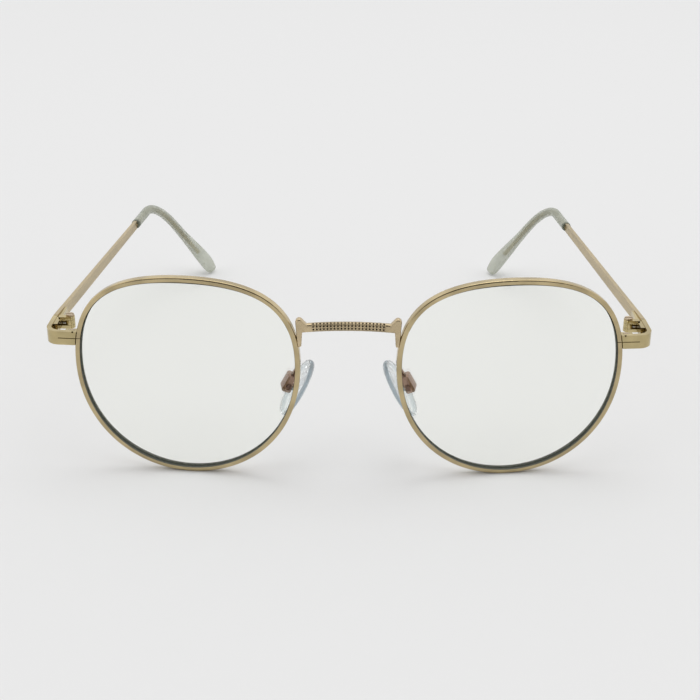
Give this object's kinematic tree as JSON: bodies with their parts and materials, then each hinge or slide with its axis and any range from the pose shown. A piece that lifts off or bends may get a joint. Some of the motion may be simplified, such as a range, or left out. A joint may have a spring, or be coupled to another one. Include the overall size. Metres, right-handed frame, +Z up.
{
  "type": "eyeglasses",
  "caption": "Round wire eyeglasses with thin metal rims, a low arched bridge, rocking nose pads, folding flat temples and translucent curved ear tips.",
  "frame": {"origin": "under the middle of the glasses, on the surface they stand on with the temples open", "axes": "+Z up, -Y the way the lenses face, +X to the right as seen from the front. Left and right in node names are as seen from the front"},
  "size_m": [0.1394, 0.1375, 0.0492],
  "materials": {
    "gold_polished": "polished pale gold plate",
    "gold_bridge": "pale gold plate with a beaded pattern",
    "gold_brushed": "brushed pale gold plate",
    "gold_copper": "rosy gold plate",
    "screw_steel": "satin",
    "lens": "clear, faint green",
    "clear_silicone": "clear, faint blue",
    "clear_acetate": "translucent grey green"
  },
  "bodies": {
    "front": {"bridge": "gold_bridge", "rim_right": "gold_polished", "rim_left": "gold_polished", "lens_right": "lens", "lens_left": "lens", "end_piece_right": "gold_polished", "end_piece_left": "gold_polished", "rim_lock_upper_right": "gold_polished", "rim_lock_upper_left": "gold_polished", "rim_lock_lower_right": "gold_polished", "rim_lock_lower_left": "gold_polished", "rim_screw_right": "screw_steel", "rim_screw_left": "screw_steel", "hinge_leaf_front_right": "gold_polished", "hinge_leaf_front_left": "gold_polished", "hinge_screw_right": "screw_steel", "hinge_screw_left": "screw_steel", "pad_box_right": "gold_copper", "pad_box_left": "gold_copper", "pad_screw_right": "screw_steel", "pad_screw_left": "screw_steel", "pad_arm_right": "gold_copper", "pad_arm_left": "gold_copper"},
    "temple_right": {"temple_right": "gold_brushed", "hinge_leaf_temple_right": "gold_polished", "temple_tip_right": "clear_acetate"},
    "nose_pad_right": {"nose_pad_right": "clear_silicone"},
    "temple_left": {"temple_left": "gold_brushed", "hinge_leaf_temple_left": "gold_polished", "temple_tip_left": "clear_acetate"},
    "nose_pad_left": {"nose_pad_left": "clear_silicone"}
  },
  "joints": [
    {"name": "fold_right", "type": "hinge", "parent": "front", "child": "temple_right", "pos_m": [0.06555, -0.05413, 0.0336], "axis": [0, 0, 1], "range_deg": [0, 82]},
    {"name": "fold_left", "type": "hinge", "parent": "front", "child": "temple_left", "pos_m": [-0.06555, -0.05413, 0.0336], "axis": [0, 0, -1], "range_deg": [0, 85]},
    {"name": "rock_pad_right", "type": "hinge", "parent": "front", "child": "nose_pad_right", "pos_m": [0.0141, -0.06033, 0.02047], "axis": [0.1898, 0.9766, 0.1009], "range_deg": [-8, 8]},
    {"name": "rock_pad_left", "type": "hinge", "parent": "front", "child": "nose_pad_left", "pos_m": [-0.0141, -0.06033, 0.02047], "axis": [-0.1898, 0.9766, 0.1009], "range_deg": [-8, 8]}
  ]
}
